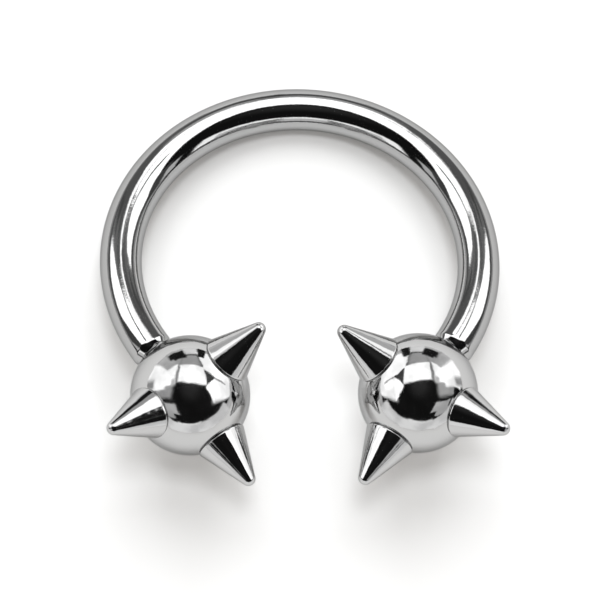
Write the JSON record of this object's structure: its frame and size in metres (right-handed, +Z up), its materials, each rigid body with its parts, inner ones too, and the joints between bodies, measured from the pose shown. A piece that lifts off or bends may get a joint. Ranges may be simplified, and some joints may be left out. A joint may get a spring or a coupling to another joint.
{
  "type": "horseshoe barbell with spiked ball ends",
  "caption": "Open circular barbell for a piercing: a curved polished steel bar with a screw-on spiked ball at each end, lying at rest.",
  "frame": {"origin": "on the surface it rests on, under the middle of the whole in X and Y", "axes": "+Z up from that surface, -Y towards the opening between the two balls, +X to the right ball"},
  "size_m": [0.0152, 0.0164, 0.0065],
  "materials": {
    "polished_bar_steel": "mirror polished surgical steel",
    "polished_ball_steel": "mirror polished surgical steel"
  },
  "bodies": {
    "bar": {"curved_bar": "polished_bar_steel"},
    "left_ball": {"left_spiked_ball": "polished_ball_steel"},
    "right_ball": {"right_spiked_ball": "polished_ball_steel"}
  },
  "joints": [
    {"name": "left_ball_unscrews", "type": "slide", "parent": "bar", "child": "left_ball", "axis": [0.585, -0.7827, 0.2126], "range_m": [0, 0.0019]},
    {"name": "right_ball_unscrews", "type": "slide", "parent": "bar", "child": "right_ball", "axis": [-0.585, -0.7827, 0.2126], "range_m": [0, 0.0019]}
  ]
}
